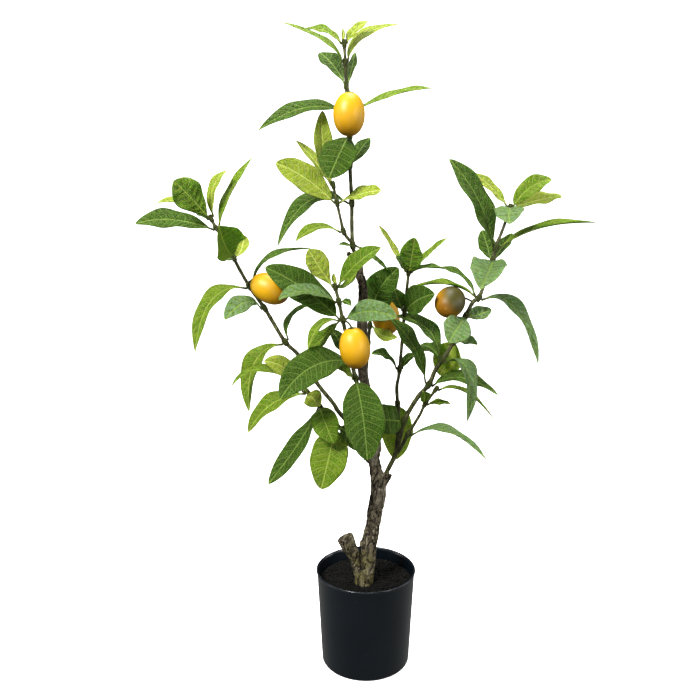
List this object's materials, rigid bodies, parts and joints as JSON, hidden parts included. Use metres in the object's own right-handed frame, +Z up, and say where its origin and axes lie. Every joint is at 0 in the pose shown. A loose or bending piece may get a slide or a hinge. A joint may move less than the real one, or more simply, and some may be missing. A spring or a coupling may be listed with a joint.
{
  "type": "potted citrus tree",
  "caption": "Small upright citrus tree with a crooked trunk, thin boughs, rings of oval leaves and orange oval fruits, set in soil in a plain round tapered pot.",
  "frame": {"origin": "centre of the pot's flat underside", "axes": "+Z up along the trunk, +X towards the longer bough with the fruit end-on, -Y towards the front"},
  "size_m": [0.5, 0.1719, 0.743],
  "materials": {
    "pot_shell": "smooth moulded charcoal-black plastic with a satin sheen",
    "potting_soil": "loose black granular potting soil",
    "trunk_bark": "rough grey-tan bark with dark lengthwise cracks",
    "stem_skin": "dark olive-brown thin stems with pale rings at the leaf joints",
    "fruit_skin": "satin amber-orange rind, deeper orange at the blossom end",
    "leaf_blade": "satin leaf with pressed side veins, net veins and a pale midrib, deep green to lime"
  },
  "bodies": {
    "root": {"pot": "pot_shell", "soil": "potting_soil", "trunk": "trunk_bark", "leader": "stem_skin", "front_shoot": "stem_skin", "left_twig": "stem_skin", "left_bough": "stem_skin", "right_bough": "stem_skin", "back_twig": "stem_skin", "fruit_top": "fruit_skin", "fruit_left": "fruit_skin", "fruit_front": "fruit_skin", "fruit_right": "fruit_skin", "fruit_back": "fruit_skin", "leader_leaves_1": "leaf_blade", "leader_leaves_2": "leaf_blade", "leader_leaves_3": "leaf_blade", "leader_leaves_4": "leaf_blade", "leader_leaves_5": "leaf_blade", "leader_leaves_6": "leaf_blade", "leader_leaves_7": "leaf_blade", "leader_leaves_8": "leaf_blade", "side_shoot_leaves_1": "leaf_blade", "side_shoot_leaves_2": "leaf_blade", "side_shoot_leaves_3": "leaf_blade", "front_shoot_leaves_1": "leaf_blade", "front_shoot_leaves_2": "leaf_blade", "front_shoot_leaves_3": "leaf_blade", "front_shoot_leaves_4": "leaf_blade", "front_shoot_leaves_5": "leaf_blade", "left_twig_leaves_1": "leaf_blade", "left_twig_leaves_2": "leaf_blade", "left_twig_leaves_3": "leaf_blade", "left_bough_leaves_1": "leaf_blade", "left_bough_leaves_2": "leaf_blade", "left_bough_leaves_3": "leaf_blade", "left_bough_leaves_4": "leaf_blade", "left_bough_leaves_5": "leaf_blade", "left_bough_leaves_6": "leaf_blade", "right_bough_leaves_1": "leaf_blade", "right_bough_leaves_2": "leaf_blade", "right_bough_leaves_3": "leaf_blade", "right_bough_leaves_4": "leaf_blade", "right_bough_leaves_5": "leaf_blade", "right_bough_leaves_6": "leaf_blade", "right_bough_leaves_7": "leaf_blade", "right_bough_leaves_8": "leaf_blade", "right_bough_leaves_9": "leaf_blade", "inner_shoot_leaves_1": "leaf_blade", "inner_shoot_leaves_2": "leaf_blade", "inner_shoot_leaves_3": "leaf_blade", "inner_shoot_leaves_4": "leaf_blade", "low_shoot_leaves_1": "leaf_blade", "low_shoot_leaves_2": "leaf_blade", "low_shoot_leaves_3": "leaf_blade", "back_twig_leaves_1": "leaf_blade", "back_twig_leaves_2": "leaf_blade", "back_twig_leaves_3": "leaf_blade"}
  },
  "joints": []
}
